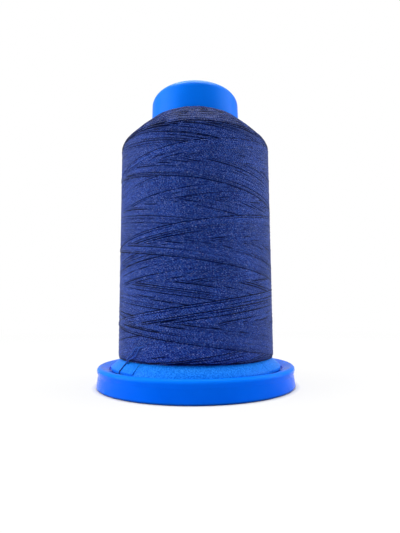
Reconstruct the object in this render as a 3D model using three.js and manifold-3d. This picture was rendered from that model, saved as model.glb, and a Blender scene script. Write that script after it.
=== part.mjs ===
// Snap-lock thread spool: a collared core, a base that grips the thread's end, and the wound thread.
// Millimetres. +Z runs up the spool's axis, and the origin is the foot's centre on the resting plane.
// The base's skirt and the core's collar meet at a seat. Hooked fingers under the core pass through the
// base's hub, so the core lifts a few millimetres to let the thread's end in or out, and snaps shut again.

import * as THREE from 'three';
import { mergeVertices } from 'three/addons/utils/BufferGeometryUtils.js';
import Module from 'manifold-3d';

const wasm = await Module();
wasm.setup();

// Whole spool
const spoolHeight = 77;
const roundSegments = 72;
const arcStep = 30; // degrees turned by each chord of a rounded corner
const cutterMargin = 1; // how far a cutter runs past what it cuts

// Base: outer rim
const footRadius = 25;
const footRound = 0.3;
const footWidth = 1.3; // flat ring that touches the table
const waistInset = 0.4;
const waistHeight = 3.1;
const lipInset = 0.1;
const lipHeight = 4.1;
const lipRound = 0.85;
const rimHeight = 5;
const rimWall = 1.6;
const rimWidth = 3.53; // from the foot's edge in to the collar's edge
const landFall = 0.65; // how far the rim's top falls from its crest to the seat

// Base: seat, web and hub
const seatHeight = 3.9;
const collarSideGap = 0.43;
const webWall = 1.25;
const webGap = 0.5; // between the core's collar and the web, where the web leaves the seat
const hubHeight = 7.3;
const hubGap = 0.3; // between the core's neck and the hub's hole
const hubHookGap = 1; // between the core's hooks and the ribs round them
const ribCount = 8;
const ribWall = 1;
const ribDepth = 2; // below the middle of the web

// Core: tube
const tubeTopRadius = 11.8;
const tubeDraft = 1.38; // degrees, wider towards the collar
const tubeWall = 1.3;
const tubeTopRound = 2.45;
const tubeInnerRound = 0.8;
const endWall = 1.5;
const pinHoleRadius = 4.5;
const pinHoleRound = 0.4;

// Core: collar, with two raised quadrants like broad pads and two that are planed down to the rim
const collarTopHeight = 11.9; // where the collar's cone meets the tube
const collarWall = 1.2;
const collarLip = 0.2; // height of the low quadrants' upright edge
const clampGap = 0.42; // between the collar's edge and the seat, where the thread's end is held
const padStep = 0.35; // how much higher the raised quadrants' edge stands
const rampWidth = 1.25; // radial width over which the low quadrants fall to their edge
const firstStep = -39.5; // degrees from the front towards +X, where a raised quadrant ends
const padCount = 2;

// Core: snap fingers
const fingerWall = 1.1;
const fingerCount = 6;
const slotWidth = 2.4;
const slotEndSides = 16;
const slotLand = 0.6; // solid neck left between a slot's end and the collar
const hookReach = 0.9;
const hookLand = 0.5;
const hookLead = 1.1;
const snapTravel = 3;
const stopGap = 0.3; // left between the hooks and the hub at full travel
const beadHeight = 0.2;
const beadDrop = 0.5; // below the hub's underside when the spool is shut

// Wound thread
const collarFlange = 1.6; // how far the collar stands out past the winding
const packFlare = 0.06; // how much wider the winding is at its shoulder
const packGap = 0.2; // between the winding and the plastic
const packFootRound = 1.3;
const packFootAngle = 55; // degrees of that rounding before the winding meets the collar
const tubeReach = 8.45; // how far the tube stands out of the winding
const packTopWidth = 0.8; // narrow end of the winding, round the tube
const upperFall = 3.18; // from the winding's top to the middle of its shoulder
const lowerFall = 3.88; // from there to the shoulder's lower corner
const shoulderInset = 3.64; // how far the middle of the shoulder lies inside the winding's side
const middleRound = 6;
const shoulderRound = 3;

// Thread's end
const tailRadius = 0.13;
const tailGap = 0.1;
const tailInset = 0.55; // how far inside the collar's edge the gripped stretch runs
const tailDrop = 5.1; // height over which the end crosses the winding's side
const gripAngle = 60; // degrees of the seat that the gripped stretch follows
const gripStep = 10;
const tailSides = 8;
const tailSteps = 64;

const bluePlastic = { color: 0x0a5fd6, roughness: 0.32, metalness: 0 };
const navyThread = { color: 0x1b2350, roughness: 0.85, metalness: 0 };

const radians = THREE.MathUtils.degToRad;
const draftSlope = Math.tan(radians(tubeDraft));

// Radii that follow from the foot inwards, and heights that follow from the tube's end down
const collarRadius = footRadius - rimWidth;
const packRadius = collarRadius - collarFlange;
const packTopHeight = spoolHeight - tubeReach;
const chamferHeight = packTopHeight - upperFall;
const shoulderHeight = chamferHeight - lowerFall;

// Heights that the collar takes from the seat
const collarEdge = seatHeight + clampGap;
const lowTop = collarEdge + collarLip;
const padTop = lowTop + padStep;

// Outer radius of the tube at a height
function tubeRadiusAt(z) {
  return tubeTopRadius + (spoolHeight - z) * draftSlope;
}

const collarWidth = collarRadius - tubeRadiusAt(collarTopHeight);
const collarAngle = Math.atan2(collarTopHeight - padTop, collarWidth);
const collarSlope = Math.tan(collarAngle);

// Height of the collar's cone at a radius, lowered by a distance measured square to its face
function collarHeightAt(radius, depth = 0) {
  return padTop + (collarRadius - radius) * collarSlope - depth / Math.cos(collarAngle);
}

// Radius where that lowered cone passes a height
function collarRadiusAt(z, depth = 0) {
  return collarRadius - (z - collarHeightAt(collarRadius, depth)) / collarSlope;
}

// Where the cone, lifted off the collar by a gap, meets the tube, widened by the same gap
function coneMeetsTube(gap) {
  const lift = collarHeightAt(collarRadius, -gap);
  const reach = collarRadius - tubeTopRadius - gap - spoolHeight * draftSlope;
  const z = (lift + reach * collarSlope) / (1 - draftSlope * collarSlope);
  return { radius: tubeRadiusAt(z) + gap, z };
}

const neckRadius = coneMeetsTube(0).radius;
const neckInner = neckRadius - fingerWall;
const hubHoleRadius = neckRadius + hubGap;
const hubUnderside = hubHeight - webWall;
const hookTop = hubUnderside - snapTravel - stopGap;
const hookRadius = hubHoleRadius + hookReach;
const fingertip = hookTop - hookLand - hookLead;

// The web is a cone between the seat and the hub, with level plates at both ends
const webFootRadius = collarRadiusAt(seatHeight, collarWall + webGap);
const webHeadRadius = hookRadius + hubHookGap;
const webAngle = Math.atan2(hubHeight - seatHeight, webFootRadius - webHeadRadius);

// Corners of the web's two bends, a distance below its top face
function webBends(depth) {
  const shift = depth * Math.tan(webAngle / 2);
  return {
    foot: [webFootRadius - shift, seatHeight - depth, 0],
    head: [webHeadRadius - shift, hubHeight - depth, 0],
  };
}

// Position from an azimuth in degrees (0 at the front, positive towards +X), a radius and a height
function polar(azimuth, radius, z) {
  const turn = radians(azimuth);
  return new THREE.Vector3(radius * Math.sin(turn), -radius * Math.cos(turn), z);
}

// Replaces one corner of an outline by a chain of chords that touches both of its sides
function roundedCorner(before, corner, after, radius) {
  const inward = before.clone().sub(corner).normalize();
  const outward = after.clone().sub(corner).normalize();
  const half = inward.angleTo(outward) / 2;
  const reach = radius / Math.tan(half);
  const start = corner.clone().addScaledVector(inward, reach);
  const bisector = inward.clone().add(outward).normalize();
  const centre = corner.clone().addScaledVector(bisector, radius / Math.sin(half));
  const turn = Math.PI - 2 * half;
  const side = Math.sign(outward.cross(inward));
  const chords = Math.max(2, Math.round(turn / radians(arcStep)));
  const chain = [];
  for (let i = 0; i <= chords; i += 1) {
    chain.push(start.clone().rotateAround(centre, (side * turn * i) / chords));
  }
  return chain;
}

// Closed outline in radius and height from corners given as [radius, z, rounding]
function outline(corners) {
  const points = corners.map(([radius, z]) => new THREE.Vector2(radius, z));
  return points.flatMap((point, i) => {
    const rounding = corners[i][2];
    if (!rounding) return [point];
    const before = points.at(i - 1);
    const after = points[(i + 1) % points.length];
    return roundedCorner(before, point, after, rounding);
  });
}

// Ring swept round the spool's axis from an outline's corners, listed anticlockwise
function ring(corners) {
  const profile = outline(corners);
  profile.push(profile[0].clone());
  return new THREE.LatheGeometry(profile, roundSegments).rotateX(Math.PI / 2);
}

// Upright plate of an outline in radius and height, centred on the radius that points along +X
function plate(corners, thickness) {
  const shape = new THREE.Shape(outline(corners));
  const geometry = new THREE.ExtrudeGeometry(shape, { depth: thickness, bevelEnabled: false });
  return geometry.translate(0, 0, -thickness / 2).rotateX(Math.PI / 2);
}

// Wedge of space between two azimuths, tall enough to hold the whole collar
function wedge(from, to) {
  const reach = 2 * footRadius;
  const edge = [from, (from + to) / 2, to].map((azimuth) => polar(azimuth, reach, 0));
  const shape = new THREE.Shape([new THREE.Vector3(), ...edge].map(({ x, y }) => new THREE.Vector2(x, y)));
  return new THREE.ExtrudeGeometry(shape, { depth: spoolHeight, bevelEnabled: false });
}

// three.js geometry to a manifold solid, and back
function solid(geometry) {
  const bare = geometry.clone();
  bare.deleteAttribute('normal');
  bare.deleteAttribute('uv');
  const merged = mergeVertices(bare);
  const vertProperties = new Float32Array(merged.attributes.position.array);
  const triVerts = new Uint32Array(merged.index.array);
  return new wasm.Manifold(new wasm.Mesh({ numProp: 3, vertProperties, triVerts }));
}

function geometryOf(manifold) {
  const { vertProperties, triVerts } = manifold.getMesh();
  const geometry = new THREE.BufferGeometry();
  geometry.setAttribute('position', new THREE.BufferAttribute(vertProperties, 3));
  geometry.setIndex(new THREE.BufferAttribute(triVerts, 1));
  geometry.computeVertexNormals();
  return geometry;
}

function piece(name, geometry, finish) {
  const mesh = new THREE.Mesh(geometry, new THREE.MeshStandardMaterial(finish));
  mesh.name = name;
  return mesh;
}

// Copies of a cutter or a rib at equal turns round the axis
function aroundAxis(geometry, count) {
  return Array.from({ length: count }, (_, i) => {
    return geometry.clone().rotateZ((2 * Math.PI * i) / count);
  });
}

// Base: rim, seat, conical web and hub as one turned shell, stiffened by ribs underneath
function baseShell() {
  const lipRadius = footRadius - lipInset;
  const rimInner = footRadius - rimWall;
  const seatRadius = collarRadius + collarSideGap;
  const topBends = webBends(0);
  const lowerBends = webBends(webWall);
  return ring([
    [footRadius - footRound - footWidth, 0, 0],
    [footRadius, 0, footRound],
    [footRadius - waistInset, waistHeight, 0],
    [lipRadius, lipHeight, 0],
    [lipRadius, rimHeight, lipRound],
    [lipRadius - lipRound, rimHeight, 0],
    [seatRadius, rimHeight - landFall, 0],
    [seatRadius, seatHeight, 0],
    topBends.foot,
    topBends.head,
    [hubHoleRadius, hubHeight, 0],
    [hubHoleRadius, hubUnderside, 0],
    lowerBends.head,
    lowerBends.foot,
    [rimInner, seatHeight - webWall, 0],
  ]);
}

// Rib of even depth that follows the web's underside from the rim to the hub, clear of the hooks
function baseRib() {
  const rootRadius = footRadius - rimWall / 2 - waistInset;
  const rootTop = seatHeight - webWall / 2;
  const upper = webWall / 2;
  const lower = upper + ribDepth;
  const webHeightAtHead = (depth) => hubHeight - depth / Math.cos(webAngle);
  return plate([
    [rootRadius, rootTop - ribDepth, 0],
    [rootRadius, rootTop, 0],
    webBends(upper).foot,
    [webHeadRadius, webHeightAtHead(upper), 0],
    [webHeadRadius, webHeightAtHead(lower), 0],
    webBends(lower).foot,
  ], ribWall);
}

function snapBase() {
  const ribs = aroundAxis(baseRib(), ribCount);
  const whole = ribs.reduce((body, rib) => body.add(solid(rib)), solid(baseShell()));
  return piece('snap_base', geometryOf(whole), bluePlastic);
}

// Core: tube, collar and neck as one turned shell, before the quadrants and the slots are cut
function coreShell() {
  const boreTop = spoolHeight - endWall;
  const apex = coneMeetsTube(0);
  const bead = hubUnderside - beadDrop;
  return ring([
    [pinHoleRadius, boreTop, 0],
    [tubeRadiusAt(boreTop) - tubeWall, boreTop, tubeInnerRound],
    [neckInner, apex.z, 0],
    [neckInner, fingertip, 0],
    [neckRadius - fingerWall / 3, fingertip, 0],
    [hookRadius, hookTop - hookLand, 0],
    [hookRadius, hookTop, 0],
    [neckRadius, hookTop, 0],
    [neckRadius, bead - beadHeight, 0],
    [neckRadius + beadHeight, bead, 0],
    [neckRadius, bead + beadHeight, 0],
    [neckRadius, collarHeightAt(neckRadius, collarWall), 0],
    [collarRadiusAt(collarEdge, collarWall), collarEdge, 0],
    [collarRadius, collarEdge, 0],
    [collarRadius, padTop, 0],
    [apex.radius, apex.z, 0],
    [tubeTopRadius, spoolHeight, tubeTopRound],
    [pinHoleRadius, spoolHeight, pinHoleRound],
  ]);
}

// Ring that planes the low quadrants down to their edge
function rampCutter() {
  const rampTop = collarRadius - rampWidth;
  const fall = (collarHeightAt(rampTop) - lowTop) / rampWidth;
  const outside = collarRadius + cutterMargin;
  return ring([
    [rampTop, collarHeightAt(rampTop), 0],
    [outside, lowTop - cutterMargin * fall, 0],
    [outside, collarHeightAt(rampTop), 0],
  ]);
}

// Slot between two fingers, with a round end, on the radius that points along +X
function slotCutter() {
  const middle = neckRadius - fingerWall / 2;
  const through = fingerWall + 2 * cutterMargin;
  const roundEnd = collarHeightAt(neckRadius, collarWall) - slotLand - slotWidth / 2;
  const bottom = fingertip - cutterMargin;
  const height = roundEnd - bottom;
  const straight = new THREE.BoxGeometry(through, slotWidth, height);
  straight.translate(middle, 0, bottom + height / 2);
  const end = new THREE.CylinderGeometry(slotWidth / 2, slotWidth / 2, through, slotEndSides);
  end.rotateZ(Math.PI / 2).translate(middle, 0, roundEnd);
  const hookHeight = hookTop - bottom + hookLand;
  const hook = new THREE.BoxGeometry(2 * hookReach + through, slotWidth, hookHeight);
  hook.translate(middle + hookReach, 0, bottom + hookHeight / 2);
  return geometryOf(solid(straight).add(solid(end)).add(solid(hook)));
}

function spoolCore() {
  const quadrant = 180 / padCount;
  const ramp = solid(rampCutter());
  let body = solid(coreShell());
  for (let pad = 0; pad < padCount; pad += 1) {
    const step = firstStep + 2 * quadrant * pad;
    body = body.subtract(ramp.intersect(solid(wedge(step, step + quadrant))));
  }
  for (const slot of aroundAxis(slotCutter(), fingerCount)) {
    body = body.subtract(solid(slot));
  }
  return piece('spool_core', geometryOf(body), bluePlastic);
}

// Wound thread: a cylinder on the collar's cone with a rounded foot and a domed shoulder
function threadPackage() {
  const footInner = coneMeetsTube(packGap);
  const roundEnd = radians(packFootAngle);
  const footRadiusAtCone = packRadius - packFootRound * (1 - Math.cos(roundEnd));
  const footCentre = collarHeightAt(footRadiusAtCone, -packGap) + packFootRound * Math.sin(roundEnd);
  const chords = Math.round(packFootAngle / arcStep);
  const foot = [];
  for (let i = chords; i >= 0; i -= 1) {
    const turn = (roundEnd * i) / chords;
    const radius = packRadius - packFootRound * (1 - Math.cos(turn));
    foot.push([radius, footCentre - packFootRound * Math.sin(turn), 0]);
  }
  return piece('thread_package', ring([
    [footInner.radius, footInner.z, 0],
    ...foot,
    [packRadius + packFlare, shoulderHeight, shoulderRound],
    [packRadius - shoulderInset, chamferHeight, middleRound],
    [tubeRadiusAt(packTopHeight) + packGap + packTopWidth, packTopHeight, 0],
    [tubeRadiusAt(packTopHeight) + packGap, packTopHeight, 0],
  ]), navyThread);
}

// Thread's end: off the winding, down the collar over a raised quadrant, in under its edge and along
// the seat. Each point is an azimuth, a radius and a height.
function threadTail() {
  const off = tailRadius + tailGap;
  const onWinding = packRadius + off;
  const windingFoot = collarHeightAt(packRadius);
  const beside = (share) => windingFoot + tailDrop * share;
  const outer = (share) => packRadius + collarFlange * share;
  const onCollar = (share) => collarHeightAt(outer(share), -off);
  const underEdge = (seatHeight + collarEdge) / 2;
  const inSeat = collarRadius - tailInset;
  const route = [
    [-38, onWinding, beside(1)],
    [-41, onWinding, beside(0.86)],
    [-44.2, onWinding, beside(0.68)],
    [-47.4, onWinding, beside(0.5)],
    [-50.5, onWinding, beside(0.35)],
    [-52.6, onWinding - off / 2, beside(0.22)],
    [-53.8, onWinding - off / 2, beside(0.07)],
    [-53.8, outer(0.3), onCollar(0.3)],
    [-53.3, outer(0.6), onCollar(0.6)],
    [-52.9, outer(0.88), onCollar(0.88)],
    [-52.6, outer(1) + off, padTop],
    [-52.3, outer(1) + off, collarEdge],
    [-51, outer(1) - tailRadius, underEdge],
    [-47, inSeat + tailRadius, underEdge],
  ];
  for (let azimuth = firstStep; azimuth <= firstStep + gripAngle; azimuth += gripStep) {
    route.push([azimuth, inSeat, underEdge]);
  }
  const path = new THREE.CatmullRomCurve3(route.map((point) => polar(...point)));
  const section = new THREE.Shape();
  section.absarc(0, 0, tailRadius, 0, 2 * Math.PI);
  const geometry = new THREE.ExtrudeGeometry(new THREE.Shape(section.getPoints(tailSides / 2)), {
    steps: tailSteps,
    extrudePath: path,
  });
  return piece('thread_tail', geometry, navyThread);
}

const spool = new THREE.Group();
spool.add(snapBase(), spoolCore(), threadPackage(), threadTail());

export default spool;
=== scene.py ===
import math

import bmesh
import bpy
import numpy as np
from mathutils import Matrix, Vector


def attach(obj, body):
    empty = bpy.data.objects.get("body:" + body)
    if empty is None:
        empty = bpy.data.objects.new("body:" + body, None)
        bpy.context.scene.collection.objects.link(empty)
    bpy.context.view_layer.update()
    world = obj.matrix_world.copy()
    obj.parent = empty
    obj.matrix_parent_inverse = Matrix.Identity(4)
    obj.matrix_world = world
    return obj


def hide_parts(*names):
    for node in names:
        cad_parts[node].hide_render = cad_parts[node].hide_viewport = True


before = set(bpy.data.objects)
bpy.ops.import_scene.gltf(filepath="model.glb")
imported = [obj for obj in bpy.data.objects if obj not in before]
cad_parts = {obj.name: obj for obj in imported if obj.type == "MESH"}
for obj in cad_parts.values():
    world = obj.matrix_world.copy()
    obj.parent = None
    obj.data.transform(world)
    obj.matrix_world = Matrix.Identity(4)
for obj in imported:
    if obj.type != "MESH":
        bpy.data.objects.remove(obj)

# A snap-lock spool of navy sewing thread. Sizes are in millimetres until a mesh is made, azimuths in
# degrees from the front towards +X, and heights from the surface that the spool stands on.

mm = 0.001
radians = math.radians
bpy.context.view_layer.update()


def deselectAll():
    if bpy.context.object and bpy.context.object.mode != "OBJECT":
        bpy.ops.object.mode_set(mode="OBJECT")
    bpy.ops.object.select_all(action="DESELECT")


def selectOnly(obj):
    deselectAll()
    obj.select_set(True)
    bpy.context.view_layer.objects.active = obj


def editMode(obj):
    selectOnly(obj)
    bpy.ops.object.mode_set(mode="EDIT")
    bpy.ops.mesh.select_mode(type="VERT")


def pickVertices(obj, wanted):
    mesh = bmesh.from_edit_mesh(obj.data)
    for vertex in mesh.verts:
        vertex.select = wanted(vertex.co)
    mesh.select_flush_mode()
    bmesh.update_edit_mesh(obj.data)


# Closed ring made by extruding a circle from corner to corner of its section
def turnRing(name, corners, segments):
    deselectAll()
    radius, height = corners[0]
    bpy.ops.mesh.primitive_circle_add(vertices=segments, radius=radius * mm, location=(0, 0, height * mm))
    ring = bpy.context.object
    ring.name = name
    ring.data.name = name
    bpy.ops.object.transform_apply(location=True, rotation=True, scale=True)
    editMode(ring)
    bpy.ops.mesh.select_all(action="SELECT")
    for nextRadius, nextHeight in corners[1:]:
        bpy.ops.mesh.extrude_region_move()
        scale = nextRadius / radius
        bpy.ops.transform.resize(value=(scale, scale, 1), center_override=(0, 0, height * mm))
        bpy.ops.transform.translate(value=(0, 0, (nextHeight - height) * mm))
        radius, height = nextRadius, nextHeight
    bpy.ops.mesh.select_all(action="DESELECT")
    bpy.ops.mesh.select_non_manifold()
    bpy.ops.mesh.bridge_edge_loops()
    bpy.ops.mesh.select_all(action="SELECT")
    bpy.ops.mesh.normals_make_consistent(inside=False)
    bpy.ops.object.mode_set(mode="OBJECT")
    return ring


# Rounds the corner ring at a radius and height; reach is how far the rounding runs along each side
def roundRing(obj, radius, height, reach, steps):
    editMode(obj)
    near = 0.02  # mm

    def onRing(co):
        across = math.hypot(co.x, co.y) / mm
        return abs(across - radius) < near and abs(co.z / mm - height) < near

    pickVertices(obj, onRing)
    bpy.ops.mesh.bevel(offset_type="OFFSET", offset=reach * mm, segments=steps, affect="EDGES")
    bpy.ops.object.mode_set(mode="OBJECT")


# Turns a ring from corners of radius, height and rounding; chord is the degrees of each facet
def turnRounded(name, corners, segments, chord=9):
    ring = turnRing(name, [corner[:2] for corner in corners], segments)
    for i, (radius, height, rounding) in enumerate(corners):
        if not rounding:
            continue
        corner = Vector((radius, height))
        inward = Vector(corners[i - 1][:2]) - corner
        outward = Vector(corners[(i + 1) % len(corners)][:2]) - corner
        angle = inward.angle(outward)
        steps = max(2, round((180 - math.degrees(angle)) / chord))
        roundRing(ring, radius, height, rounding / math.tan(angle / 2), steps)
    return ring


def applyBoolean(obj, tool, operation):
    selectOnly(obj)
    modifier = obj.modifiers.new(operation.lower(), "BOOLEAN")
    modifier.operation = operation
    modifier.solver = "EXACT"
    modifier.object = tool
    bpy.ops.object.modifier_apply(modifier=modifier.name)
    bpy.data.objects.remove(tool)


def joinTools(tools):
    deselectAll()
    for tool in tools:
        tool.select_set(True)
    bpy.context.view_layer.objects.active = tools[0]
    bpy.ops.object.join()
    return bpy.context.object


# Keeps the part of a ring between two azimuths less than half a turn apart
def keepWedge(obj, start, end):
    for azimuth, side in ((start, 1), (end, -1)):
        turn = radians(azimuth)
        # along this normal the azimuth grows
        normal = (side * math.cos(turn), side * math.sin(turn), 0)
        editMode(obj)
        bpy.ops.mesh.select_all(action="SELECT")
        bpy.ops.mesh.bisect(plane_co=(0, 0, 0), plane_no=normal, use_fill=True, clear_inner=True)
        bpy.ops.object.mode_set(mode="OBJECT")


def smoothByAngle(obj, degrees=32):
    selectOnly(obj)
    bpy.ops.object.shade_smooth_by_angle(angle=radians(degrees))


baseSizes = {
    "segments": 192,
    "footRadius": 24.99, "footWidth": 1.3, "footRound": 0.3,
    "waistInset": 0.4, "waistHeight": 3.1, "waistRound": 0.35,
    "lipInset": 0.1, "lipHeight": 4.1, "lipRound": 0.85,
    "rimHeight": 5.0, "rimWall": 1.6, "landFall": 0.65, "landRound": 0.14,
    "seatHeight": 3.9, "seatGap": 0.43, "webWall": 1.25, "webGap": 0.5,
    "hubHeight": 7.3, "hubGap": 0.3, "hubHookGap": 1.0, "hubRound": 0.2,
    "ribCount": 8, "ribWall": 1.0, "ribDepth": 2.0,
}

coreSizes = {
    "segments": 192,
    "height": 77.0, "tubeTopRadius": 11.8, "tubeDraft": 1.38, "tubeWall": 1.3,
    "tubeTopRound": 2.45, "innerRound": 0.8, "endWall": 1.5,
    "pinHoleRadius": 4.5, "pinHoleRound": 0.4,
    "collarRadius": 21.47, "collarTopHeight": 11.9, "collarWall": 1.2, "collarLip": 0.2,
    "clampGap": 0.42, "padStep": 0.35, "firstStep": -39.5,
    "rampWidth": 1.25, "rampReach": 2.6, "rampOverhang": 0.4,
    "fingerWall": 1.1, "fingerCount": 6, "slotWidth": 2.4, "slotLand": 0.6,
    "hookReach": 0.9, "hookLand": 0.5, "hookLead": 1.1, "travel": 3.0, "stopGap": 0.3,
    "beadHeight": 0.2, "beadDrop": 0.5,
}

draftSlope = math.tan(radians(coreSizes["tubeDraft"]))
collarEdge = baseSizes["seatHeight"] + coreSizes["clampGap"]
lowTop = collarEdge + coreSizes["collarLip"]
padTop = lowTop + coreSizes["padStep"]


def tubeRadiusAt(height):
    return coreSizes["tubeTopRadius"] + (coreSizes["height"] - height) * draftSlope


collarRadius = coreSizes["collarRadius"]
collarTop = coreSizes["collarTopHeight"]
collarAngle = math.atan2(collarTop - padTop, collarRadius - tubeRadiusAt(collarTop))
collarSlope = math.tan(collarAngle)


def collarHeightAt(radius, depth=0):
    return padTop + (collarRadius - radius) * collarSlope - depth / math.cos(collarAngle)


def collarRadiusAt(height, depth=0):
    return collarRadius - (height - collarHeightAt(collarRadius, depth)) / collarSlope


def coneMeetsTube(gap):
    lift = collarHeightAt(collarRadius, -gap)
    reach = collarRadius - coreSizes["tubeTopRadius"] - gap - coreSizes["height"] * draftSlope
    height = (lift + reach * collarSlope) / (1 - draftSlope * collarSlope)
    return tubeRadiusAt(height) + gap, height


neckRadius, neckHeight = coneMeetsTube(0)
neckInner = neckRadius - coreSizes["fingerWall"]
hubHoleRadius = neckRadius + baseSizes["hubGap"]
hubUnderside = baseSizes["hubHeight"] - baseSizes["webWall"]
hookTop = hubUnderside - coreSizes["travel"] - coreSizes["stopGap"]
hookRadius = hubHoleRadius + coreSizes["hookReach"]
fingertip = hookTop - coreSizes["hookLand"] - coreSizes["hookLead"]


def polar(azimuth, radius, height):
    turn = radians(azimuth)
    return Vector((radius * math.sin(turn), -radius * math.cos(turn), height))


def azimuthOf(co):
    return math.degrees(math.atan2(co.x, -co.y))


def buildBase():
    sizes = baseSizes
    foot = sizes["footRadius"]
    lip = foot - sizes["lipInset"]
    seat = sizes["seatHeight"]
    seatRadius = collarRadius + sizes["seatGap"]
    webFoot = collarRadiusAt(seat, coreSizes["collarWall"] + sizes["webGap"])
    webHead = hookRadius + sizes["hubHookGap"]
    webAngle = math.atan2(sizes["hubHeight"] - seat, webFoot - webHead)

    def bends(depth):
        shift = depth * math.tan(webAngle / 2)
        return (webFoot - shift, seat - depth), (webHead - shift, sizes["hubHeight"] - depth)

    topFoot, topHead = bends(0)
    lowFoot, lowHead = bends(sizes["webWall"])
    corners = [
        (foot - sizes["footRound"] - sizes["footWidth"], 0, 0.2),
        (foot, 0, sizes["footRound"]),
        (foot - sizes["waistInset"], sizes["waistHeight"], sizes["waistRound"]),
        (lip, sizes["lipHeight"], sizes["waistRound"]),
        (lip, sizes["rimHeight"], sizes["lipRound"] * 0.99),  # just short of the next corner
        (lip - sizes["lipRound"], sizes["rimHeight"], 0),
        (seatRadius, sizes["rimHeight"] - sizes["landFall"], sizes["landRound"]),
        (seatRadius, seat, 0.1),
        (*topFoot, 0.5),
        (*topHead, 0.3),
        (hubHoleRadius, sizes["hubHeight"], sizes["hubRound"]),
        (hubHoleRadius, hubUnderside, sizes["hubRound"]),
        (*lowHead, 0.3),
        (*lowFoot, 0.5),
        (foot - sizes["rimWall"], seat - sizes["webWall"], 0.4),
    ]
    base = turnRounded("base_ring", corners, sizes["segments"])

    root = foot - sizes["rimWall"] / 2 - sizes["waistInset"]
    rootTop = seat - sizes["webWall"] / 2
    upper = sizes["webWall"] / 2  # the ribs start inside the web
    lower = upper + sizes["ribDepth"]
    upperFoot, lowerFoot = bends(upper)[0], bends(lower)[0]
    headHeight = sizes["hubHeight"] - upper / math.cos(webAngle)
    lowHeight = sizes["hubHeight"] - lower / math.cos(webAngle)
    outline = [
        (root, rootTop - sizes["ribDepth"]), (root, rootTop), upperFoot,
        (webHead, headHeight), (webHead, lowHeight), lowerFoot,
    ]
    ribs = []
    for number in range(sizes["ribCount"]):
        rib = plateOnRadius("rib", outline, sizes["ribWall"])
        rib.data.transform(Matrix.Rotation(radians(360 * number / sizes["ribCount"]), 4, "Z"))
        ribs.append(rib)
    applyBoolean(base, joinTools(ribs), "UNION")
    smoothByAngle(base)
    return base


# Upright plate of an outline in radius and height, centred on the radius that points along +X
def plateOnRadius(name, outline, thickness):
    deselectAll()
    bpy.ops.mesh.primitive_circle_add(vertices=len(outline), radius=0.01, fill_type="NGON")
    plate = bpy.context.object
    plate.name = name
    for vertex, (radius, height) in zip(plate.data.vertices, outline):
        vertex.co = (radius * mm, -thickness * mm / 2, height * mm)
    editMode(plate)
    bpy.ops.mesh.select_all(action="SELECT")
    bpy.ops.mesh.extrude_region_move()
    bpy.ops.transform.translate(value=(0, thickness * mm, 0))
    bpy.ops.mesh.select_all(action="SELECT")
    bpy.ops.mesh.normals_make_consistent(inside=False)
    bpy.ops.object.mode_set(mode="OBJECT")
    return plate


def buildCore():
    sizes = coreSizes
    boreTop = sizes["height"] - sizes["endWall"]
    bead = hubUnderside - sizes["beadDrop"]
    beadHeight = sizes["beadHeight"]
    corners = [
        (sizes["pinHoleRadius"], boreTop, 0.2),
        (tubeRadiusAt(boreTop) - sizes["tubeWall"], boreTop, sizes["innerRound"]),
        (neckInner, neckHeight, 0),
        (neckInner, fingertip, 0.2),
        (neckRadius - sizes["fingerWall"] / 3, fingertip, 0.15),
        (hookRadius, hookTop - sizes["hookLand"], 0.2),
        (hookRadius, hookTop, 0.1),
        (neckRadius, hookTop, 0.1),
        (neckRadius, bead - beadHeight, 0),
        (neckRadius + beadHeight, bead, 0.1),
        (neckRadius, bead + beadHeight, 0),
        (neckRadius, collarHeightAt(neckRadius, sizes["collarWall"]), 0.4),
        (collarRadiusAt(collarEdge, sizes["collarWall"]), collarEdge, 0),
        (collarRadius, collarEdge, 0),
        (collarRadius, padTop, 0.1),
        (neckRadius, neckHeight, 0),
        (sizes["tubeTopRadius"], sizes["height"], sizes["tubeTopRound"]),
        (sizes["pinHoleRadius"], sizes["height"], sizes["pinHoleRound"]),
    ]
    core = turnRounded("spool_body", corners, sizes["segments"], chord=7)

    slotTop = collarHeightAt(neckRadius, sizes["collarWall"]) - sizes["slotLand"]
    for number in range(sizes["fingerCount"]):
        slot = slotCutter(slotTop - sizes["slotWidth"] / 2)
        # a little aside, so that no cut runs along the tube's own edges
        turn = radians(360 * number / sizes["fingerCount"]) + 0.004
        slot.data.transform(Matrix.Rotation(turn, 4, "Z"))
        applyBoolean(core, slot, "DIFFERENCE")

    # the low quadrants climb again from their step to the next raised one: radius, depth under the
    # collar's cone at the step, and depth at the far end
    innerEdge = collarRadius - sizes["rampReach"]
    outerEdge = collarRadius + sizes["rampOverhang"]
    rampCuts = [
        (innerEdge, 0.02, 0.06),
        (collarRadius - sizes["rampWidth"], 0.03, 0.055),
        (collarRadius - 0.09, sizes["padStep"], 0.02),
        (outerEdge, sizes["padStep"] + 0.9, 0.92),
        (outerEdge, -3, -3),
        (innerEdge, -3, -3),
    ]
    rampCorners = [(radius, collarHeightAt(radius) - depth) for radius, depth, _ in rampCuts]

    def nearestCut(radius, height):
        return min(rampCuts, key=lambda cut: abs(cut[0] - radius)
                   + abs(collarHeightAt(cut[0]) - cut[1] - height))

    ramps = []
    for half in (0, 180):
        step = sizes["firstStep"] + half
        ramp = turnRing("ramp", rampCorners, sizes["segments"])
        keepWedge(ramp, step, step + 90)
        for vertex in ramp.data.vertices:
            across, azimuth = math.hypot(vertex.co.x, vertex.co.y), azimuthOf(vertex.co)
            share = ((azimuth - step + 1) % 360 - 1) / 90
            _, atStep, atEnd = nearestCut(across / mm, vertex.co.z / mm)
            vertex.co.z += share * (atStep - atEnd) * mm
        ramps.append(ramp)
    applyBoolean(core, joinTools(ramps), "DIFFERENCE")
    smoothByAngle(core)
    return core


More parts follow.
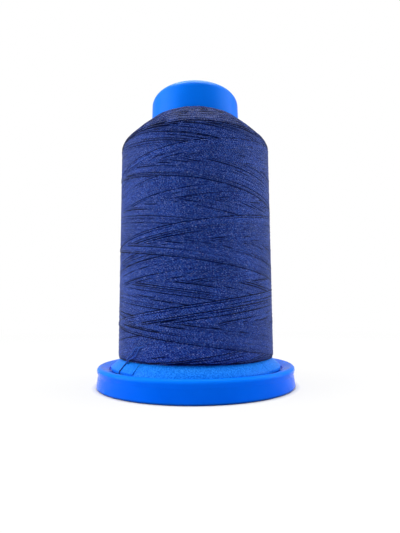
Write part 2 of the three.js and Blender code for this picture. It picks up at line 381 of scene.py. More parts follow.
# Slot between two fingers on the radius that points along +X, round at its top
def slotCutter(endHeight):
    sizes = coreSizes
    spare = 0.5
    depth = hookRadius - neckInner + 2 * spare
    deselectAll()
    bpy.ops.mesh.primitive_cylinder_add(vertices=32, radius=sizes["slotWidth"] * mm / 2, depth=depth * mm)
    slot = bpy.context.object
    slot.data.transform(Matrix.Rotation(math.pi / 2, 4, "Y"))
    slot.data.transform(Matrix.Translation(((neckInner - spare + depth / 2) * mm, 0, endHeight * mm)))
    editMode(slot)
    pickVertices(slot, lambda co: co.z < endHeight * mm - 1e-6)
    bpy.ops.transform.translate(value=(0, 0, (fingertip - 2 - endHeight) * mm))
    bpy.ops.object.mode_set(mode="OBJECT")
    return slot


windingSizes = {
    "columns": 384, "rowStep": 0.05,
    "pieces": ["foot", "low", "middle", "high", "upper", "shoulder"],
    "sideRadius": 19.87, "footRound": 1.3, "footAngle": 55,
    # corners of the shoulder: radius, height and rounding
    "shoulder": [(19.93, 61.49, 3.0), (16.24, 65.37, 6.0), (12.8, 68.55, 0.5)],
    "threadWidth": 0.27, "threadHeight": 0.2, "sink": 0.4,
    "spacing": 0.256, "strokeTurns": 3, "footTurn": 6.5, "shoulderTurn": 61.4,
    "lastTurnAzimuth": 97.7, "doubleStrokes": 120, "turnArc": 26, "turnJitter": 0.006,
    "sways": ((0.31, 0.005), (0.83, 0.01)),  # length in turns and size
    "slipsPerTurn": 0.4, "slip": (0.15, 0.3), "slipArc": (24, 60), "slipCourses": 7,
    "settleEvery": 16, "settle": 0.9,
    # how the relief is evened, each width in rows and columns, and how much of it shows; gaps deeper than
    # gapDepth get painted shade, full after gapFade more
    "settleWidth": (24, 6), "levelWidth": (40, 10), "waveWidth": (9, 3), "waves": 0.85,
    "crestReach": 5, "gapDepth": 0.08, "gapFade": 0.045, "fullHeight": 97, "relief": 0.6,
    "seed": 11,
}

# turns of the thinner package that show on the shoulder; arcs and bends in degrees
olderTurns = {
    "count": 520, "reach": 41, "bend": 13, "perTurn": 63, "jitter": 0.06, "columnJitter": 4,
    "end": 0.25, "settleEvery": 20, "settle": 0.8,
}


# Outline of the winding from its foot on the collar to the tube, in even steps
def windingProfile(sizes):
    angle = radians(sizes["footAngle"])
    rounding = sizes["footRound"]
    side = sizes["sideRadius"]
    footRadius = side - rounding * (1 - math.cos(angle))
    centre = collarHeightAt(footRadius, -0.04) + rounding * math.sin(angle)
    arcSteps = 24
    points = []
    for i in range(arcSteps + 1):
        turn = angle * (1 - i / arcSteps)
        points.append((side - rounding * (1 - math.cos(turn)), centre - rounding * math.sin(turn)))
    corners = [points[-1]] + [corner[:2] for corner in sizes["shoulder"]]
    last = sizes["shoulder"][-1]
    corners.append((tubeRadiusAt(last[1]) + 0.03, last[1] + 0.25))
    for i, (radius, height, rounding) in enumerate(sizes["shoulder"], start=1):
        corner = Vector((radius, height))
        inward = (Vector(corners[i - 1]) - corner).normalized()
        outward = (Vector(corners[i + 1]) - corner).normalized()
        half = inward.angle(outward) / 2
        centrePoint = corner + (inward + outward).normalized() * rounding / math.sin(half)
        start = corner + inward * rounding / math.tan(half)
        arm = start - centrePoint
        total = math.pi - 2 * half
        for k in range(arcSteps + 1):
            spun = arm.copy()
            spun.rotate(Matrix.Rotation(total * k / arcSteps, 2))
            points.append(tuple(centrePoint + spun))
    points.append(corners[-1])
    path = np.array(points)
    reach = np.concatenate([[0], np.cumsum(np.hypot(*np.diff(path, axis=0).T))])
    rows = int(reach[-1] / sizes["rowStep"])
    steps = np.linspace(0, reach[-1], rows + 1)
    radius = np.interp(steps, reach, path[:, 0])
    height = np.interp(steps, reach, path[:, 1])
    slope = np.stack([np.gradient(radius), np.gradient(height)])
    slope = blurRows(slope.T, 6).T
    slope /= np.hypot(*slope)
    return radius, height, slope[1], -slope[0]


def blurWindow(width):
    window = np.hanning(2 * width + 3)[1:-1]
    return window / window.sum()


def blurRows(values, width):
    padded = np.pad(values, ((width, width), (0, 0)), mode="edge")
    total = np.zeros_like(values)
    for i, weight in enumerate(blurWindow(width)):
        total += weight * padded[i:i + len(values)]
    return total


# Highest of the rows within reach
def crestRows(values, width):
    padded = np.pad(values, ((width, width), (0, 0)), mode="edge")
    return np.max([padded[i:i + len(values)] for i in range(2 * width + 1)], axis=0)


def blurRound(values, width):
    total = np.zeros_like(values)
    for i, weight in enumerate(blurWindow(width)):
        total += weight * np.roll(values, i - width, axis=1)
    return total


# Smooths a map over a width in rows and a width in columns
def smoothMap(values, widths):
    return blurRound(blurRows(values, widths[0]), widths[1])


# Height along a thread once it is pulled tight: it spans hollows in straight lines
def pullTight(height, step, radius):
    around = np.arange(len(height)) * step
    flat = (height - radius * around ** 2 / 2).tolist()
    hull = []
    for i, value in enumerate(flat):
        while len(hull) > 1:
            a, b = hull[-2], hull[-1]
            if (flat[b] - flat[a]) * (i - a) <= (value - flat[a]) * (b - a):
                hull.pop()
            else:
                break
        hull.append(i)
    tight = np.interp(np.arange(len(height)), hull, [flat[i] for i in hull])
    return tight + radius * around ** 2 / 2


# Lays thread on the winding's surface, as a map of heights over rows and columns
class ThreadMap:
    def __init__(self, sizes, rows):
        self.sizes = sizes
        self.shape = (rows + 1, sizes["columns"])
        self.height = np.zeros(self.shape)
        self.tone = np.full(self.shape, 0.5)
        self.across = np.zeros(self.shape)
        self.along = np.zeros(self.shape)

    # One run of thread: a column and a place along the outline for each sample
    def lay(self, column, place, tone, fade=None):
        sizes = self.sizes
        step = sizes["rowStep"]
        half = sizes["threadWidth"] / 2
        thick = sizes["threadHeight"] / 2
        turnStep = 2 * math.pi / sizes["columns"]
        around = column % sizes["columns"]
        row = place / step
        nearest = np.round(row).astype(int)
        # a thread is up to seven rows wide
        index = nearest + np.arange(-3, 4)[:, None]
        aside = (index - row) * step / half
        inside = (np.abs(aside) < 1) & (index >= 0) & (index < self.shape[0])
        index = np.clip(index, 0, self.shape[0] - 1)
        crown = thick * np.sqrt(np.clip(1 - aside ** 2, 0, 1))
        sink, lowest = sizes["sink"], -9
        below = self.height[index, around]
        # soft thread rests on the highest thread below it, and sinks a little between its neighbours
        top = np.where(inside, below + crown, lowest).max(axis=0)
        mean = np.where(inside, below, 0).sum(axis=0) / np.maximum(inside.sum(axis=0), 1) + thick
        centre = np.where(inside.any(axis=0), (1 - sink) * top + sink * mean, 0)
        centre = pullTight(centre, turnStep, sizes["sideRadius"])
        if fade is not None:
            centre = centre - fade
        surface = centre + crown
        keep = inside & (surface > below - 0.02)
        columns = np.broadcast_to(around, index.shape)
        rowsKept, columnsKept = index[keep], columns[keep]
        self.height[rowsKept, columnsKept] = surface[keep]
        self.tone[rowsKept, columnsKept] = tone
        self.across[rowsKept, columnsKept] = aside[keep]
        # each run has its own stretch of the fibres' pattern
        length = (column - column[0]) * turnStep * sizes["sideRadius"] + 400 * tone
        self.along[rowsKept, columnsKept] = np.broadcast_to(length, index.shape)[keep]

    # Later turns press the earlier ones level
    def settle(self, share):
        self.height -= share * smoothMap(self.height, self.sizes["settleWidth"])


def windThread(sizes, profile):
    height = profile[1]
    rows = len(height) - 1
    step = sizes["rowStep"]
    rng = np.random.default_rng(sizes["seed"])
    threads = ThreadMap(sizes, rows)
    # on the straight side, a place along the outline is a height and this offset
    side = (height > 12) & (height < 55)
    offset = (np.arange(rows + 1) * step - height)[side].mean()

    columns = sizes["columns"]
    stroke = sizes["shoulderTurn"] - sizes["footTurn"]
    pitch = (2 * stroke + sizes["spacing"]) / (2 * sizes["strokeTurns"])
    perColumn = pitch / columns
    count = 2 * sizes["doubleStrokes"]
    lowTurn = sizes["footTurn"] + offset
    highTurn = sizes["shoulderTurn"] + offset
    end = rows * step

    # older turns of the thread, wound while the package was thinner, show on the shoulder
    arcs = olderTurns["count"]
    arcReach = round(olderTurns["reach"] * columns / 360)
    arcColumns = np.arange(-arcReach, arcReach + 1)
    bend = olderTurns["bend"] * columns / 360
    drop = perColumn * (np.sqrt(arcColumns ** 2 + bend ** 2) - bend)
    fade = olderTurns["end"] * np.clip((np.abs(arcColumns) / arcReach - 0.8) * 5, 0, 1) ** 2
    for i in range(arcs):
        share = i / (arcs - 1)
        top = end - 0.15 + (highTurn - end) * share + rng.normal(0, olderTurns["jitter"])
        back = (arcs - i) * columns / olderTurns["perTurn"]
        middle = round(lastTurnColumn(sizes) - back + rng.normal(0, olderTurns["columnJitter"]))
        threads.lay(middle + arcColumns, top - drop, rng.random(), fade)
        if (i + 1) % olderTurns["settleEvery"] == 0:
            threads.settle(olderTurns["settle"])
    print("shoulder wound")

    # the long strokes from foot to shoulder and back
    ends = np.where(np.arange(count + 1) % 2 == 0, lowTurn, highTurn)
    ends = ends + rng.normal(0, sizes["turnJitter"], count + 1)
    turns = np.abs(np.diff(ends)) / perColumn
    reach = np.concatenate([[0], np.cumsum(turns)])
    samples = np.arange(int(reach[-1]) + 1)
    place = np.interp(samples, reach, ends)
    # the thread sways a little as it is laid
    for waveTurns, size in sizes["sways"]:
        phase = np.cumsum(rng.normal(1, 0.25, len(samples))) * 2 * math.pi / (waveTurns * columns)
        place += size * np.sin(phase + rng.random() * 6)
    # here and there it slips aside and leaves a slender gap, which its next courses close again
    slope = np.sign(np.gradient(place))
    course = 2 * sizes["strokeTurns"] * columns
    for _ in range(round(sizes["slipsPerTurn"] * len(samples) / columns)):
        half = round(rng.uniform(*sizes["slipArc"]) * columns / 360)
        middle = rng.integers(half, len(samples) - half)
        slip = rng.uniform(*sizes["slip"]) * slope[middle]
        shape = np.hanning(2 * half) ** 0.4
        for i in range(sizes["slipCourses"]):
            start = middle - half + i * course
            if start + 2 * half < len(samples):
                place[start:start + 2 * half] += slip * (1 - i / sizes["slipCourses"]) * shape
    # the ends of the strokes turn back in a bend
    width = round(sizes["turnArc"] * columns / 360)
    place = blurRows(place[:, None], width)[:, 0]
    shift = round(lastTurnColumn(sizes) - reach[-1])
    breaks = np.round(reach).astype(int)
    for i in range(count):
        part = slice(breaks[i], min(breaks[i + 1] + 1, len(samples)))
        threads.lay(samples[part] + shift, place[part], rng.random())
        if (i + 1) % sizes["settleEvery"] == 0 and i < count - sizes["settleEvery"] / 2:
            threads.settle(sizes["settle"])
    print("thread wound")
    return threads


def lastTurnColumn(sizes):
    return sizes["lastTurnAzimuth"] * sizes["columns"] / 360


def buildWinding():
    sizes = windingSizes
    profile = windingProfile(sizes)
    threads = windThread(sizes, profile)
    radius, height, outRadius, outHeight = profile
    rows = len(radius) - 1
    # the package is firm and even: only the threads themselves and the gaps between them show
    level = threads.height - smoothMap(threads.height, sizes["levelWidth"])
    level -= sizes["waves"] * smoothMap(level, sizes["waveWidth"])
    depth = crestRows(level, sizes["crestReach"]) - level
    # hollows between the threads get painted shade, from none to full over gapFade
    gapShade = np.clip((depth - sizes["gapDepth"]) / sizes["gapFade"], 0, 1)
    # every crest comes up to the profile, and what lies under it sinks
    relief = sizes["relief"] * np.minimum(level - np.percentile(level, sizes["fullHeight"]), 0)
    columns = sizes["columns"]
    azimuth = np.arange(columns) * 2 * math.pi / columns
    surfaceRadius = radius[:, None] + outRadius[:, None] * relief
    surfaceHeight = height[:, None] + outHeight[:, None] * relief
    x = surfaceRadius * np.sin(azimuth)
    y = -surfaceRadius * np.cos(azimuth)
    points = np.stack([x, y, surfaceHeight], axis=-1) * mm
    print("winding relief", float(relief.min()), float(relief.max()))
    cuts = np.round(np.linspace(0, rows, len(sizes["pieces"]) + 1)).astype(int)
    pieces = []
    for number, part in enumerate(sizes["pieces"]):
        low, high = cuts[number], cuts[number + 1]
        lowRing = (tubeRadiusAt(height[low]) + 0.1, height[low])
        if number == 0:
            lowRing = coneMeetsTube(0.06)  # the foot follows the collar in to the tube
        highRing = (tubeRadiusAt(height[high]) + 0.02, height[high])
        rings = (lowRing, highRing)
        pieces.append(windingPiece("thread_" + part, points, threads, gapShade, (low, high), rings))
    return pieces


# Closed band of the winding from row to row; its inner wall runs between two rings on the tube,
# each given as radius and height
def windingPiece(name, points, threads, gapShade, span, rings):
    low, high = span
    columns = points.shape[1]
    rows = high - low
    deselectAll()
    bpy.ops.mesh.primitive_grid_add(x_subdivisions=columns, y_subdivisions=rows, size=1)
    piece = bpy.context.object
    piece.name = name
    piece.data.name = name
    mesh = piece.data
    flat = np.empty(len(mesh.vertices) * 3)
    mesh.vertices.foreach_get("co", flat)
    flat = flat.reshape(-1, 3) + 0.5  # the grid is one metre wide about the origin
    column = np.round(flat[:, 0] * columns).astype(int) % columns
    row = np.round(flat[:, 1] * rows).astype(int) + low
    mesh.vertices.foreach_set("co", points[row, column].ravel())
    for label, values in (("tone", threads.tone), ("across", threads.across),
                          ("along", threads.along), ("gapShade", gapShade)):
        layer = mesh.attributes.new(label, "FLOAT", "POINT")
        layer.data.foreach_set("value", values[row, column].ravel().astype(np.float32))
    editMode(piece)
    bpy.ops.mesh.select_all(action="SELECT")
    bpy.ops.mesh.remove_doubles(threshold=1e-7)
    bpy.ops.mesh.select_all(action="DESELECT")
    bpy.ops.mesh.select_non_manifold()
    bpy.ops.mesh.mark_sharp()
    mesh = bmesh.from_edit_mesh(piece.data)
    border = [vertex for vertex in mesh.verts if vertex.select]
    middle = points[[low, high], :, 2].mean()
    for upper, (ringRadius, ringHeight) in zip((False, True), rings):
        chosen = {vertex for vertex in border if (vertex.co.z >= middle) == upper}
        for vertex in mesh.verts:
            vertex.select = vertex in chosen
        mesh.select_flush_mode()
        edges = [edge for edge in mesh.edges if edge.select and edge.is_boundary]
        made = bmesh.ops.extrude_edge_only(mesh, edges=edges)["geom"]
        for item in made:
            if isinstance(item, bmesh.types.BMVert):
                item.co = polar(azimuthOf(item.co), ringRadius, ringHeight) * mm
    bmesh.update_edit_mesh(piece.data)
    bpy.ops.mesh.select_all(action="DESELECT")
    bpy.ops.mesh.select_non_manifold()
    bpy.ops.mesh.bridge_edge_loops()
    bpy.ops.mesh.select_all(action="SELECT")
    bpy.ops.mesh.normals_make_consistent(inside=False)
    bpy.ops.object.mode_set(mode="OBJECT")
    selectOnly(piece)
    bpy.ops.object.shade_smooth()
    return piece


threadEnd = {
    "radius": 0.13, "gap": 0.03, "grip": 60, "gripStep": 10, "inset": 0.55,
    "plies": 3, "plyRadius": 0.075, "plyOffset": 0.068, "plyPitch": 0.95, "pathStep": 0.11,
}


# From the winding down the collar, in under its edge and along the seat
def endRoute():
    sizes = threadEnd
    off = sizes["radius"] + sizes["gap"]
    side = windingSizes["sideRadius"] + off
    flange = collarRadius - windingSizes["sideRadius"]
    underEdge = (baseSizes["seatHeight"] + collarEdge) / 2
    inSeat = collarRadius - sizes["inset"]

    def outer(share):
        return windingSizes["sideRadius"] + flange * share

    def onCollar(share):
        return collarHeightAt(outer(share), -off)

    route = [
        (-34.6, side - 0.25, 10.75),
        (-37.6, side, 10.5),
        (-40.0, side + 0.03, 10.35),
        (-42.0, side + 0.04, 10.12),
        (-43.4, side + 0.04, 9.6),
        (-44.2, side + 0.04, 9.16),
        (-46.8, side + 0.02, 8.54),
        (-49.2, side, 8.0),
        (-51.6, side - 0.05, 7.45),
        (-52.9, side - 0.28, 6.9),
        (-53.8, outer(0), onCollar(0)),
        (-53.8, outer(0.3), onCollar(0.3)),
        (-53.3, outer(0.6), onCollar(0.6)),
        (-52.9, outer(0.88), onCollar(0.88)),
        (-52.6, outer(1) + off, padTop),
        (-52.3, outer(1) + off * 0.9, collarEdge),
        (-51.0, outer(0.92), underEdge + sizes["radius"]),
        (-47.0, inSeat + sizes["radius"], underEdge + sizes["radius"] / 2),
    ]
    azimuth = coreSizes["firstStep"]
    while azimuth <= coreSizes["firstStep"] + sizes["grip"]:
        route.append((azimuth, inSeat, underEdge))
        azimuth += sizes["gripStep"]
    return [polar(*point) for point in route]


# The loose strand that stands off the winding's foot beside the end
def looseRoute():
    side = windingSizes["sideRadius"] + threadEnd["radius"] + threadEnd["gap"]
    route = [
        (-35.2, side - 0.25, 10.6),
        (-38.1, side, 10.25),
        (-39.1, side + 0.05, 9.7),
        (-40.5, side + 0.08, 9.0),
        (-42.4, side + 0.06, 8.45),
        (-44.2, side + 0.03, 8.1),
        (-47.9, side + 0.02, 7.6),
        (-50.6, side, 7.2),
        (-52.2, side - 0.25, 6.75),
        (-53.0, side - 0.5, 6.5),
    ]
    return [polar(*point) for point in route]


# Evenly spaced points on the smooth curve through a route
def smoothPath(route, step):
    points = [route[0] * 2 - route[1], *route, route[-1] * 2 - route[-2]]
    dense = []
    parts = 24
    for i in range(1, len(points) - 2):
        a, b, c, d = points[i - 1:i + 3]
        for k in range(parts):
            t = k / parts
            dense.append(0.5 * (2 * b + (c - a) * t + (2 * a - 5 * b + 4 * c - d) * t ** 2
                                + (3 * b - a - 3 * c + d) * t ** 3))
    dense.append(route[-1])
    path = np.array([tuple(point) for point in dense])
    reach = np.concatenate([[0], np.cumsum(np.linalg.norm(np.diff(path, axis=0), axis=1))])
    steps = np.linspace(0, reach[-1], max(2, int(reach[-1] / step)))
    return np.stack([np.interp(steps, reach, path[:, i]) for i in range(3)], axis=1), reach[-1]


# Thread of twisted plies along a route
def buildPliedThread(name, route):
    sizes = threadEnd
    path, length = smoothPath(route, sizes["pathStep"])
    tangent = np.gradient(path, axis=0)
    tangent /= np.linalg.norm(tangent, axis=1)[:, None]
    aside = np.cross(tangent, (0.0, 0.0, 1.0))
    aside /= np.linalg.norm(aside, axis=1)[:, None]
    over = np.cross(aside, tangent)
    turns = np.linspace(0, length / sizes["plyPitch"], len(path)) * 2 * math.pi
    curve = bpy.data.curves.new(name, "CURVE")
    curve.dimensions = "3D"
    curve.bevel_depth = sizes["plyRadius"] * mm
    curve.bevel_resolution = 1
    curve.use_fill_caps = True
    for ply in range(sizes["plies"]):
        phase = (turns + 2 * math.pi * ply / sizes["plies"])[:, None]
        strand = path + sizes["plyOffset"] * (np.cos(phase) * aside + np.sin(phase) * over)
        spline = curve.splines.new("POLY")
        spline.points.add(len(strand) - 1)
        flat = np.concatenate([strand * mm, np.ones((len(strand), 1))], axis=1)
        spline.points.foreach_set("co", flat.ravel())
    thread = bpy.data.objects.new(name, curve)
    bpy.context.scene.collection.objects.link(thread)
    selectOnly(thread)
    bpy.ops.object.convert(target="MESH")
    thread = bpy.context.object
    editMode(thread)
    bpy.ops.mesh.select_all(action="SELECT")
    bpy.ops.mesh.remove_doubles(threshold=1e-8)
    bpy.ops.mesh.normals_make_consistent(inside=False)
    bpy.ops.object.mode_set(mode="OBJECT")
    smoothByAngle(thread, 60)
    print(name, "length in mm", round(length, 1))
    return thread


def newMaterial(name):
    material = bpy.data.materials.new(name)
    material.use_nodes = True
    nodes = material.node_tree.nodes
    return material, nodes, material.node_tree.links, nodes["Principled BSDF"]


def addNode(nodes, kind, inputs=None, **settings):
    node = nodes.new("ShaderNode" + kind)
    for key, value in settings.items():
        setattr(node, key, value)
    for key, value in (inputs or {}).items():
        node.inputs[key].default_value = value
    return node


def mathNode(nodes, links, operation, first, second=None, third=None):
    node = addNode(nodes, "Math", operation=operation)
    for i, value in enumerate((first, second, third)):
        if value is None:
            continue
        if isinstance(value, (int, float)):
            node.inputs[i].default_value = value
        else:
            links.new(value, node.inputs[i])
    return node.outputs[0]


def noiseNode(nodes, links, vector, scale, detail=3, roughness=0.5):
    node = addNode(nodes, "TexNoise", {"Scale": scale, "Detail": detail, "Roughness": roughness})
    links.new(vector, node.inputs["Vector"])
    return node.outputs["Fac"]


def rangeNode(nodes, links, value, low, high, newLow, newHigh):
    limits = {"From Min": low, "From Max": high, "To Min": newLow, "To Max": newHigh}
    node = addNode(nodes, "MapRange", limits)
    links.new(value, node.inputs["Value"])
    return node.outputs[0]


def mixColour(nodes, links, factor, first, second, blend="MIX"):
    node = addNode(nodes, "Mix", data_type="RGBA", blend_type=blend)
    if isinstance(factor, (int, float)):
        node.inputs["Factor"].default_value = factor
    else:
        links.new(factor, node.inputs["Factor"])
    for socket, value in (("A", first), ("B", second)):
        target = [item for item in node.inputs if item.name == socket and item.type == "RGBA"][0]
        if isinstance(value, tuple):
            target.default_value = (*value, 1)
        else:
            links.new(value, target)
    return [item for item in node.outputs if item.type == "RGBA"][0]


def mixShaders(nodes, links, share, first, second):
    mix = addNode(nodes, "MixShader")
    links.new(share, mix.inputs[0])
    links.new(first.outputs[0], mix.inputs[1])
    links.new(second.outputs[0], mix.inputs[2])
    return mix


def addBump(nodes, links, shader, height, strength, distance):
    bump = addNode(nodes, "Bump", {"Strength": strength, "Distance": distance})
    links.new(height, bump.inputs["Height"])
    links.new(bump.outputs[0], shader.inputs["Normal"])


basePlastic = {
    "name": "blue_base_plastic", "roughness": 0.16, "shine": 0.06, "grain": 0.12,
    "colours": ((0.0, 0.115, 0.84), (0.001, 0.134, 0.91)),
    # edge: painted highlight on the top of the lip, where light from above falls
    "edge": (0.003, 0.19, 1.0), "highlightHeights": (4.0, 4.6),
    # foot: painted shade at the bottom of the foot, where it meets the table
    "foot": (0.006, 0.03, 0.14), "footShadeHeights": (0.1, 0.55),
}

corePlastic = {
    "name": "blue_core_plastic", "roughness": 0.38, "shine": 0.1, "grain": 0.4,
    "colours": ((0.0, 0.155, 0.88), (0.001, 0.182, 0.95)),
    # edge: painted highlight along the rounded top of the tube, where light from above falls
    "edge": (0.012, 0.22, 1.0), "highlightHeights": (75.0, 76.4),
    "collar": ((0.0, 0.145, 0.76), (0.02, 0.28, 0.98)), "collarFade": 2.0,
}

plasticGloss = (0.03, 0.7, 1.0)


# Moulded plastic; the mould's grain shows as a fine sparkle, and a painted highlight makes the rounded
# top edges paler
def mouldedPlastic(look):
    material, nodes, links, shader = newMaterial(look["name"])
    place = addNode(nodes, "TexCoord").outputs["Object"]
    parts = addNode(nodes, "SeparateXYZ")
    links.new(place, parts.inputs[0])

    def betweenHeights(low, high, start, end):
        return rangeNode(nodes, links, parts.outputs["Z"], low * mm, high * mm, start, end)

    sparkle = rangeNode(nodes, links, noiseNode(nodes, links, place, 3100, 2, 0.6), 0.36, 0.66, 0, 1)
    cloud = rangeNode(nodes, links, noiseNode(nodes, links, place, 120, 4), 0.3, 0.7, 0, 1)
    cloud = mathNode(nodes, links, "MULTIPLY", cloud, 1 - look["grain"])
    mottle = mathNode(nodes, links, "MULTIPLY_ADD", sparkle, look["grain"], cloud)
    colour = mixColour(nodes, links, mottle, *look["colours"])
    # painted highlight: the rounded top edge turns paler between these heights
    colour = mixColour(nodes, links, betweenHeights(*look["highlightHeights"], 0, 1), colour, look["edge"])
    if "collar" in look:
        onCollar = betweenHeights(collarTop, collarTop + look["collarFade"], 1, 0)
        collar = mixColour(nodes, links, sparkle, *look["collar"])
        colour = mixColour(nodes, links, onCollar, colour, collar)
    if "foot" in look:
        # painted shade where the foot meets the table, darker towards the bottom
        footShade = betweenHeights(*look["footShadeHeights"], 0.9, 0)
        colour = mixColour(nodes, links, footShade, colour, look["foot"])
    links.new(colour, shader.inputs["Base Color"])

    smudge = rangeNode(nodes, links, noiseNode(nodes, links, place, 260, 3), 0.3, 0.7, -0.04, 0.06)
    roughness = mathNode(nodes, links, "ADD", smudge, look["roughness"])
    links.new(roughness, shader.inputs["Roughness"])
    shader.inputs["Specular IOR Level"].default_value = look["shine"]
    shader.inputs["Specular Tint"].default_value = (*plasticGloss, 1)
    addBump(nodes, links, shader, noiseNode(nodes, links, place, 2600, 2), 0.15, 0.00002)
    return material


threadLook = {
    # dark and light: fibre speckle whose light end is partly painted highlight; paintedGlint: painted
    # highlight on the fibres
    "dark": (0.0, 0.002, 0.09), "light": (0.028, 0.083, 0.375), "paintedGlint": (0.27, 0.35, 0.72),
    # gap: painted shade in the hollows between the threads
    "gap": (0.0, 0.0025, 0.025), "standing": (0.04, 0.11, 0.42), "lint": (0.35, 0.4, 0.55),
    "gloss": (0.1, 0.25, 1.0), "shine": 0.12, "roughness": 0.55,
    "fuzz": (0.72, 0.78, 0.82), "fuzzWeight": 0.26, "fuzzRoughness": 0.22,
    "plyPitch": 0.6,
}


def attribute(nodes, name):
    return addNode(nodes, "Attribute", attribute_name=name).outputs["Fac"]


def threadGloss(shader):
    shader.inputs["Roughness"].default_value = threadLook["roughness"]
    shader.inputs["Specular IOR Level"].default_value = threadLook["shine"]
    shader.inputs["Specular Tint"].default_value = (*threadLook["gloss"], 1)
    shader.inputs["Sheen Weight"].default_value = threadLook["fuzzWeight"]
    shader.inputs["Sheen Roughness"].default_value = threadLook["fuzzRoughness"]
    shader.inputs["Sheen Tint"].default_value = (*threadLook["fuzz"], 1)


# Follows each turn of the winding by the attributes that its map leaves on the mesh
def woundThread():
    material, nodes, links, shader = newMaterial("navy_wound_thread")
    along, across = attribute(nodes, "along"), attribute(nodes, "across")
    tone, gapShade = attribute(nodes, "tone"), attribute(nodes, "gapShade")
    place = addNode(nodes, "TexCoord").outputs["Object"]

    # plies twist round the thread
    lean = mathNode(nodes, links, "MULTIPLY", across, 2.2)
    twist = mathNode(nodes, links, "MULTIPLY_ADD", along, 2 * math.pi / threadLook["plyPitch"], lean)
    ply = mathNode(nodes, links, "MULTIPLY_ADD", mathNode(nodes, links, "SINE", twist), 0.5, 0.5)
    # fibres that stand out of the plies show as lighter and darker specks, the lighter ones partly
    # painted highlight, with sparse specks of painted highlight on top
    fibre = addNode(nodes, "CombineXYZ")
    for i, (value, scale) in enumerate(((along, 2.6), (across, 0.7), (tone, 50))):
        links.new(mathNode(nodes, links, "MULTIPLY", value, scale), fibre.inputs[i])
    speckle = noiseNode(nodes, links, fibre.outputs[0], 1.3, 2, 0.6)
    speck = rangeNode(nodes, links, speckle, 0.44, 0.6, 0, 1)
    fibres = mixColour(nodes, links, speck, threadLook["dark"], threadLook["light"])
    paintedGlint = noiseNode(nodes, links, fibre.outputs[0], 1.9, 1)
    paintedGlint = rangeNode(nodes, links, paintedGlint, 0.62, 0.73, 0, 1)
    fibres = mixColour(nodes, links, paintedGlint, fibres, threadLook["paintedGlint"])
    # no two turns are quite the same shade, and the package is handled here and there
    shade = mathNode(nodes, links, "MULTIPLY_ADD", tone, 0.35, 0.82)
    plyShade = mathNode(nodes, links, "MULTIPLY_ADD", ply, 0.7, 0.65)
    shade = mathNode(nodes, links, "MULTIPLY", shade, plyShade)
    worn = rangeNode(nodes, links, noiseNode(nodes, links, place, 160, 3), 0.3, 0.7, 0.86, 1.14)
    shade = mathNode(nodes, links, "MULTIPLY", shade, worn)
    grey = addNode(nodes, "CombineColor")
    for socket in grey.inputs:
        links.new(shade, socket)
    lit = mixColour(nodes, links, 1.0, fibres, grey.outputs[0], "MULTIPLY")
    # specks of lint
    lint = addNode(nodes, "TexVoronoi", {"Scale": 240})
    links.new(place, lint.inputs["Vector"])
    linty = rangeNode(nodes, links, lint.outputs["Distance"], 0.014, 0.028, 1, 0)
    lit = mixColour(nodes, links, linty, lit, threadLook["lint"])
    # painted shade in the hollows between the threads
    colour = mixColour(nodes, links, gapShade, lit, threadLook["gap"])
    links.new(colour, shader.inputs["Base Color"])
    threadGloss(shader)
    addBump(nodes, links, shader, ply, 0.6, 0.00004)
    return material


def plainThread():
    material, nodes, links, shader = newMaterial("navy_thread_end")
    place = addNode(nodes, "TexCoord").outputs["Object"]
    fluff = noiseNode(nodes, links, place, 5200, 3, 0.6)
    shade = rangeNode(nodes, links, fluff, 0.3, 0.7, 0, 1)
    colour = mixColour(nodes, links, shade, threadLook["light"], threadLook["standing"])
    links.new(colour, shader.inputs["Base Color"])
    threadGloss(shader)
    addBump(nodes, links, shader, fluff, 0.4, 0.00003)
    return material


def dress(obj, material, slotName, body, *nodes):
    obj.data.materials.clear()
    obj.data.materials.append(material)
    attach(obj, body)
    if nodes:
        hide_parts(*nodes)


camera = {"place": (1.15, -102.24, 18.21), "pitch": 6.72, "roll": -0.29, "lens": 26.0}

# levels of the tent in front, at the sides and in reflections; each softbox has its place in metres,
# its size and its power
studio = {
    "frontLevel": 0.0, "sideLevel": 0.36, "mirrorLevel": 0.48,
    "softboxes": {
        "left_softbox": ((-0.34, -0.1, 0.12), (0.3, 0.5), 1.95),
        "right_softbox": ((0.35, -0.024, 0.12), (0.3, 0.5), 1.42),
        "top_softbox": ((0, 0.02, 0.42), (0.3, 0.18), 1.65),
    },
    "aim": (0, 0, 0.04),
    "tableRadius": 1.2, "table": ((0.74, 0.74, 0.74), (0.7, 0.7, 0.7)),
    # the table is this white to the camera near the object, and all white further out
    "tableWhite": 0.85, "whiteFrom": 0.06, "whiteTo": 0.3,
}


def floorMaterial():
    material, nodes, links, shader = newMaterial("pale_floor")
    nodes.remove(shader)
    output = nodes["Material Output"]
    place = addNode(nodes, "TexCoord").outputs["Object"]
    cloud = noiseNode(nodes, links, place, 3, 2)
    colour = mixColour(nodes, links, cloud, *studio["table"])
    diffuse = addNode(nodes, "BsdfDiffuse")
    links.new(colour, diffuse.inputs["Color"])
    glow = addNode(nodes, "Emission", {"Color": (1, 1, 1, 1), "Strength": 1})
    seen = addNode(nodes, "LightPath").outputs["Is Camera Ray"]
    length = addNode(nodes, "VectorMath", operation="LENGTH")
    links.new(place, length.inputs[0])
    reach = length.outputs["Value"]
    near, far = studio["whiteFrom"], studio["whiteTo"]
    fade = rangeNode(nodes, links, reach, near, far, studio["tableWhite"], 1)
    # the dark line where the foot stands is kept
    foot = baseSizes["footRadius"] * mm
    clear = rangeNode(nodes, links, reach, foot + 0.0001, foot + 0.0012, 0, 1)
    share = mathNode(nodes, links, "MULTIPLY", fade, clear)
    share = mathNode(nodes, links, "MULTIPLY", seen, share)
    mix = mixShaders(nodes, links, share, diffuse, glow)
    links.new(mix.outputs[0], output.inputs["Surface"])
    return material


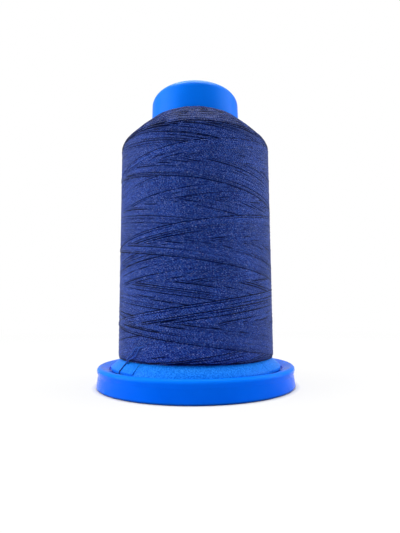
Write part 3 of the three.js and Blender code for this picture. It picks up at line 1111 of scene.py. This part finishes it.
def setCamera():
    deselectAll()
    bpy.ops.object.camera_add()
    view = bpy.context.object
    tilt = Matrix.Rotation(radians(90 + camera["pitch"]), 4, "X")
    roll = Matrix.Rotation(radians(camera["roll"]), 4, "Z")
    view.matrix_world = Matrix.Translation(Vector(camera["place"]) * mm) @ tilt @ roll
    view.data.sensor_width = 36
    view.data.lens = camera["lens"]
    view.data.clip_start = 0.001
    bpy.context.scene.camera = view


def addSoftbox(name, place, size, power):
    deselectAll()
    bpy.ops.object.light_add(type="AREA", location=place)
    lamp = bpy.context.object
    lamp.name = name
    lamp.data.shape = "RECTANGLE"
    lamp.data.size, lamp.data.size_y = size
    lamp.data.energy = power
    aim = Vector(studio["aim"]) - Vector(place)
    lamp.rotation_euler = aim.to_track_quat("-Z", "Y").to_euler()


def setStudio():
    world = bpy.data.worlds.new("white_tent")
    bpy.context.scene.world = world
    world.use_nodes = True
    nodes, links = world.node_tree.nodes, world.node_tree.links
    nodes.clear()
    output = addNode(nodes, "OutputWorld")
    direction = addNode(nodes, "SeparateXYZ")
    links.new(addNode(nodes, "TexCoord").outputs["Generated"], direction.inputs[0])
    behind = direction.outputs["Y"]
    front = studio["frontLevel"]
    level = rangeNode(nodes, links, behind, -0.9, 0.1, front, studio["sideLevel"])
    tent = addNode(nodes, "Background", {"Color": (1, 1, 1, 1)})
    links.new(level, tent.inputs["Strength"])
    white = addNode(nodes, "Background", {"Color": (1, 1, 1, 1), "Strength": 1})
    # reflections see a white wall behind the object
    mirror = rangeNode(nodes, links, behind, -0.4, 0.5, front, studio["mirrorLevel"])
    wall = addNode(nodes, "Background", {"Color": (1, 1, 1, 1)})
    links.new(mirror, wall.inputs["Strength"])
    ray = addNode(nodes, "LightPath").outputs
    reflected = mixShaders(nodes, links, ray["Is Glossy Ray"], tent, wall)
    seen = mixShaders(nodes, links, ray["Is Camera Ray"], reflected, white)
    links.new(seen.outputs[0], output.inputs["Surface"])

    for name, (place, size, power) in studio["softboxes"].items():
        addSoftbox(name, place, size, power)

    deselectAll()
    bpy.ops.mesh.primitive_circle_add(vertices=96, radius=studio["tableRadius"], fill_type="NGON")
    floor = bpy.context.object
    floor.name = "pale_table"
    floor.data.materials.append(floorMaterial())
    bpy.context.scene.view_settings.view_transform = "Standard"


setCamera()
print("camera set")
setStudio()
print("studio set")

base = buildBase()
dress(base, mouldedPlastic(basePlastic), "blue_plastic", "base", "snap_base")
print("base made", len(base.data.polygons))
core = buildCore()
dress(core, mouldedPlastic(corePlastic), "blue_plastic", "spool", "spool_core")
print("core made", len(core.data.polygons))

wound = woundThread()
pieces = buildWinding()
dress(pieces[0], wound, "navy_thread", "spool", "thread_package")
for piece in pieces[1:]:
    dress(piece, wound, "navy_thread", "spool")
print("winding made", sum(len(piece.data.polygons) for piece in pieces))

loose = plainThread()
dress(buildPliedThread("thread_end", endRoute()), loose, "navy_thread", "spool", "thread_tail")
dress(buildPliedThread("thread_loop", looseRoute()), loose, "navy_thread", "spool")
print("thread's end made")
